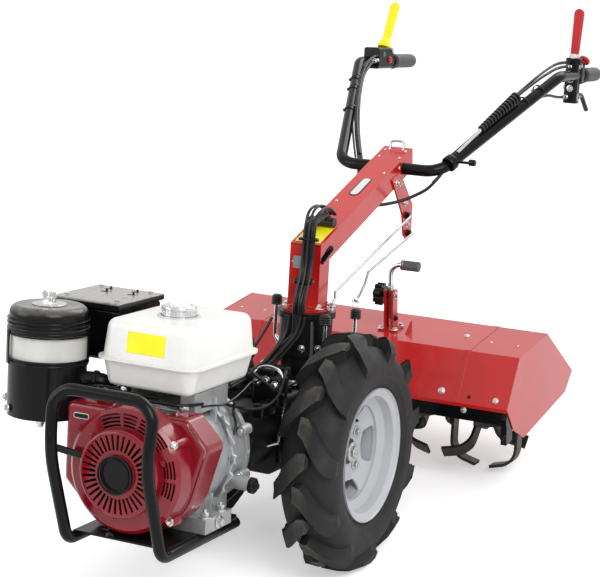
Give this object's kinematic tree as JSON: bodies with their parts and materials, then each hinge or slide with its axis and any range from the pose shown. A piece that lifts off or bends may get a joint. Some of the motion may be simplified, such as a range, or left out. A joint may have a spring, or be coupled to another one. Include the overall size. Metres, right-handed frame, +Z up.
{
  "type": "walking tractor with rotary tiller",
  "caption": "Two-wheel walking tractor with a petrol engine at the front, a reversible handlebar column and a hooded rotary tiller behind.",
  "frame": {"origin": "on the floor, under the centre of the parked machine's bounding box", "axes": "+Z up, -Y towards the engine, +X towards the machine's left-hand wheel"},
  "size_m": [0.788, 2.0664, 1.0143],
  "materials": {
    "tyre": "matt",
    "rim_paint": "satin",
    "black_steel": "gloss",
    "dark_casting": "satin",
    "dark_iron": "satin",
    "shaft_steel": "machined",
    "raw_aluminium": "cast",
    "engine_red": "gloss",
    "black_plastic": "satin",
    "tank_white": "gloss",
    "chrome": "polished",
    "clear_band": "translucent",
    "red_paint": "gloss",
    "rubber": "matt",
    "yellow_plastic": "gloss",
    "red_plastic": "gloss",
    "grip_grey": "matt",
    "tine_steel": "forged"
  },
  "bodies": {
    "chassis": {"air_cleaner_band": "clear_band", "air_cleaner_bowl": "black_plastic", "air_cleaner_cap": "black_plastic", "air_cleaner_nut": "chrome", "axle_shafts": "shaft_steel", "base_plate": "black_steel", "carburettor": "raw_aluminium", "clutch_housing": "dark_casting", "cooling_fan": "black_plastic", "crankcase": "raw_aluminium", "cylinder_head": "raw_aluminium", "depth_bracket": "red_paint", "depth_grip": "grip_grey", "depth_knob": "black_plastic", "depth_lever": "chrome", "depth_skid": "tine_steel", "exhaust_pipe": "shaft_steel", "fan_cover": "engine_red", "front_guard": "black_steel", "fuel_cap": "chrome", "fuel_tank": "tank_white", "gear_casing": "dark_casting", "gear_levers": "chrome", "hood_centre": "red_paint", "hood_wing_left": "red_paint", "hood_wing_right": "red_paint", "implement_coupling": "dark_iron", "lever_boots": "rubber", "loom_lower": "rubber", "muffler": "black_steel", "muffler_shield": "black_steel", "recoil_badge": "black_plastic", "recoil_cover": "engine_red", "starter_handle": "black_plastic", "tank_brackets": "raw_aluminium", "tiller_beam": "black_steel", "tiller_gear_case": "dark_iron", "turntable": "dark_iron"},
    "wheel_left": {"tyre_left": "tyre", "rim_left": "rim_paint", "hub_left": "black_steel"},
    "wheel_right": {"tyre_right": "tyre", "rim_right": "rim_paint", "hub_right": "black_steel"},
    "rotor": {"rotor_shaft": "tine_steel", "tines": "tine_steel"},
    "column": {"column": "red_paint", "linkage_plate": "red_paint", "gear_rods": "shaft_steel", "cable_loop": "shaft_steel", "swivel_lever": "black_plastic", "loom_upper": "rubber"},
    "handlebar": {"handlebar": "black_steel", "grips": "grip_grey", "switch_box": "black_plastic", "throttle_box": "black_plastic", "yellow_lever": "yellow_plastic", "red_lever": "red_plastic", "bar_cables": "rubber"}
  },
  "joints": [
    {"name": "wheel_left_spin", "type": "hinge", "parent": "chassis", "child": "wheel_left", "pos_m": [0.19, -0.36012, 0.25], "axis": [1, 0, 0], "continuous": true},
    {"name": "wheel_right_spin", "type": "hinge", "parent": "chassis", "child": "wheel_right", "pos_m": [-0.19, -0.36012, 0.25], "axis": [1, 0, 0], "continuous": true},
    {"name": "tine_rotor_spin", "type": "hinge", "parent": "chassis", "child": "rotor", "pos_m": [0, 0.23488, 0.162], "axis": [1, 0, 0], "continuous": true},
    {"name": "column_swivel", "type": "hinge", "parent": "chassis", "child": "column", "pos_m": [0, -0.16968, 0.4824], "axis": [0, 0.1478, 0.989], "range_deg": [-180, 30]},
    {"name": "handlebar_height", "type": "hinge", "parent": "column", "child": "handlebar", "pos_m": [0, 0.2802, 0.70523], "axis": [1, 0, 0], "range_deg": [-12, 22]}
  ]
}
